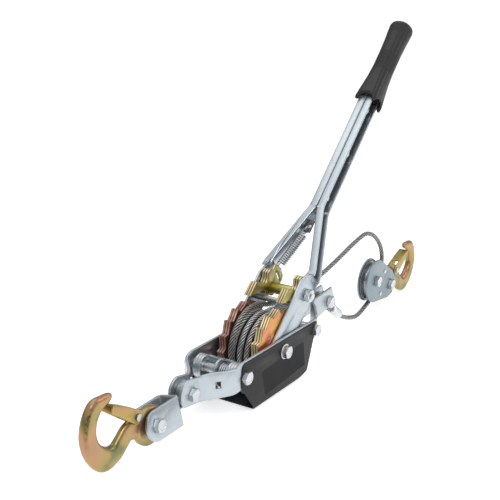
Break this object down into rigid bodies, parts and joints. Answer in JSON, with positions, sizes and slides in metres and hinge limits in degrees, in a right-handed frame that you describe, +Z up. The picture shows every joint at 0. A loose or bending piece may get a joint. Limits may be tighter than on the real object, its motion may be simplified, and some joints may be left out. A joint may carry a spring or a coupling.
{
  "type": "come along winch",
  "caption": "Hand cable puller with a ratchet drum in a plate frame, a long lever handle with a driving pawl, a swivelling safety hook, and a snatch block with its own hook on looped rope.",
  "frame": {"origin": "on the floor under the cover, straight below the drum axle, in the middle plane", "axes": "+X from the front hook to the rear hook, +Y to the far side, +Z up"},
  "size_m": [0.7136, 0.0838, 0.3781],
  "materials": {
    "zinc_sheet": "zinc plated sheet",
    "zinc_bolts": "bright zinc",
    "zinc_parts": "satin zinc",
    "black_cover": "gloss black enamel",
    "yellow_zinc": "yellow passivated zinc",
    "dark_steel": "oiled steel",
    "wire_rope": "galvanised wire rope",
    "rope_core": "dark",
    "ferrule": "pressed aluminium",
    "bush": "machined",
    "grip": "moulded rubber",
    "hook_steel": "forged, yellow passivated",
    "spring_steel": "spring wire"
  },
  "bodies": {
    "frame": {"frame_plate_near": "zinc_sheet", "frame_plate_far": "zinc_sheet", "frame_cover": "black_cover", "nose_bolt": "zinc_bolts", "cross_bolt": "zinc_bolts", "rear_bolt": "zinc_bolts", "axle_bolt": "zinc_bolts", "anchor_bolt": "zinc_bolts", "frame_nuts": "zinc_bolts", "axle_washers": "zinc_parts", "cross_tube": "zinc_parts", "rear_spacer": "zinc_parts", "axle_bush": "bush", "holding_spring": "spring_steel", "free_cable": "wire_rope", "cable_ferrule": "ferrule", "cable_eye": "wire_rope", "block_cheek_near": "zinc_sheet", "block_cheek_far": "zinc_sheet", "block_rivets": "zinc_bolts", "sheave_bolt": "zinc_bolts", "block_hook_bolt": "zinc_bolts", "block_nuts": "zinc_bolts", "sheave_bush": "bush"},
    "drum": {"drum_core": "rope_core", "ratchet_near": "yellow_zinc", "ratchet_far": "yellow_zinc", "drum_rivets": "zinc_parts", "cable_winding": "wire_rope"},
    "handle": {"handle_arm_near": "zinc_sheet", "handle_arm_far": "zinc_sheet", "handle_rivets": "zinc_bolts", "grip": "grip", "spacer_rod": "zinc_parts", "pawl_pivot_bolt": "zinc_bolts", "pawl_pivot_nut": "zinc_bolts"},
    "spring": {"tension_spring": "spring_steel"},
    "drive_pawl": {"drive_pawl_near": "yellow_zinc", "drive_pawl_far": "yellow_zinc", "drive_pawl_tab": "yellow_zinc", "pawl_sleeve": "yellow_zinc"},
    "holding_pawl": {"holding_pawl_near": "yellow_zinc", "holding_pawl_far": "yellow_zinc", "holding_pawl_web": "zinc_sheet"},
    "swivel": {"swivel_eye": "zinc_parts"},
    "clevis": {"clevis": "zinc_sheet", "clevis_bolt": "zinc_bolts", "clevis_nut": "zinc_bolts", "clevis_washers": "dark_steel"},
    "front_hook": {"front_hook": "hook_steel", "front_latch_pin": "zinc_parts", "front_latch_spring": "spring_steel"},
    "front_latch": {"front_latch": "yellow_zinc"},
    "sheave": {"sheave": "dark_steel"},
    "rear_hook": {"rear_hook": "hook_steel", "rear_latch_pin": "zinc_parts", "rear_latch_spring": "spring_steel"},
    "rear_latch": {"rear_latch": "yellow_zinc"}
  },
  "joints": [
    {"name": "drum_spin", "type": "hinge", "parent": "frame", "child": "drum", "pos_m": [0, 0, 0.0478], "axis": [0, -1, 0], "continuous": true},
    {"name": "handle_swing", "type": "hinge", "parent": "frame", "child": "handle", "pos_m": [0, 0, 0.0478], "axis": [0, -1, 0], "range_deg": [0, 90]},
    {"name": "drive_pawl_pivot", "type": "hinge", "parent": "handle", "child": "drive_pawl", "pos_m": [0.05468, 0, 0.09557], "axis": [0, -1, 0], "range_deg": [-12, 7.5], "stiffness_Nm_per_rad": 1.2},
    {"name": "spring_follow", "type": "hinge", "parent": "handle", "child": "spring", "pos_m": [0.11095, 0.002, 0.15747], "axis": [0, -1, 0], "range_deg": [-5, 6]},
    {"name": "holding_pawl_pivot", "type": "hinge", "parent": "frame", "child": "holding_pawl", "pos_m": [-0.078, 0, 0.0452], "axis": [0, -1, 0], "range_deg": [-5, 8], "stiffness_Nm_per_rad": 2},
    {"name": "nose_swing", "type": "hinge", "parent": "frame", "child": "swivel", "pos_m": [-0.137, 0, 0.0419], "axis": [0, -1, 0], "range_deg": [-25, 25]},
    {"name": "clevis_swivel", "type": "hinge", "parent": "swivel", "child": "clevis", "pos_m": [-0.13677, 0, 0.0331], "axis": [-0.9997, 0, -0.0262], "continuous": true},
    {"name": "front_hook_pivot", "type": "hinge", "parent": "clevis", "child": "front_hook", "pos_m": [-0.19925, 0, 0.03147], "axis": [0.0063, 0.9703, -0.2418], "range_deg": [-45, 45]},
    {"name": "front_latch_hinge", "type": "hinge", "parent": "front_hook", "child": "front_latch", "pos_m": [-0.22023, 0.00103, 0.04922], "axis": [-0.019, -0.9992, 0.0352], "range_deg": [0, 40], "stiffness_Nm_per_rad": 0.05},
    {"name": "sheave_spin", "type": "hinge", "parent": "frame", "child": "sheave", "pos_m": [0.28808, 0.001, 0.04311], "axis": [0, -1, 0], "continuous": true},
    {"name": "rear_hook_pivot", "type": "hinge", "parent": "frame", "child": "rear_hook", "pos_m": [0.3329, 0.001, 0.0268], "axis": [0, -1, 0], "range_deg": [-40, 32]},
    {"name": "rear_latch_hinge", "type": "hinge", "parent": "rear_hook", "child": "rear_latch", "pos_m": [0.35401, 0.001, 0.04124], "axis": [0, 1, 0], "range_deg": [0, 40], "stiffness_Nm_per_rad": 0.05}
  ],
  "couplings": [
    {"joint": "spring_follow", "follows": "drive_pawl_pivot", "ratio": -0.35}
  ]
}
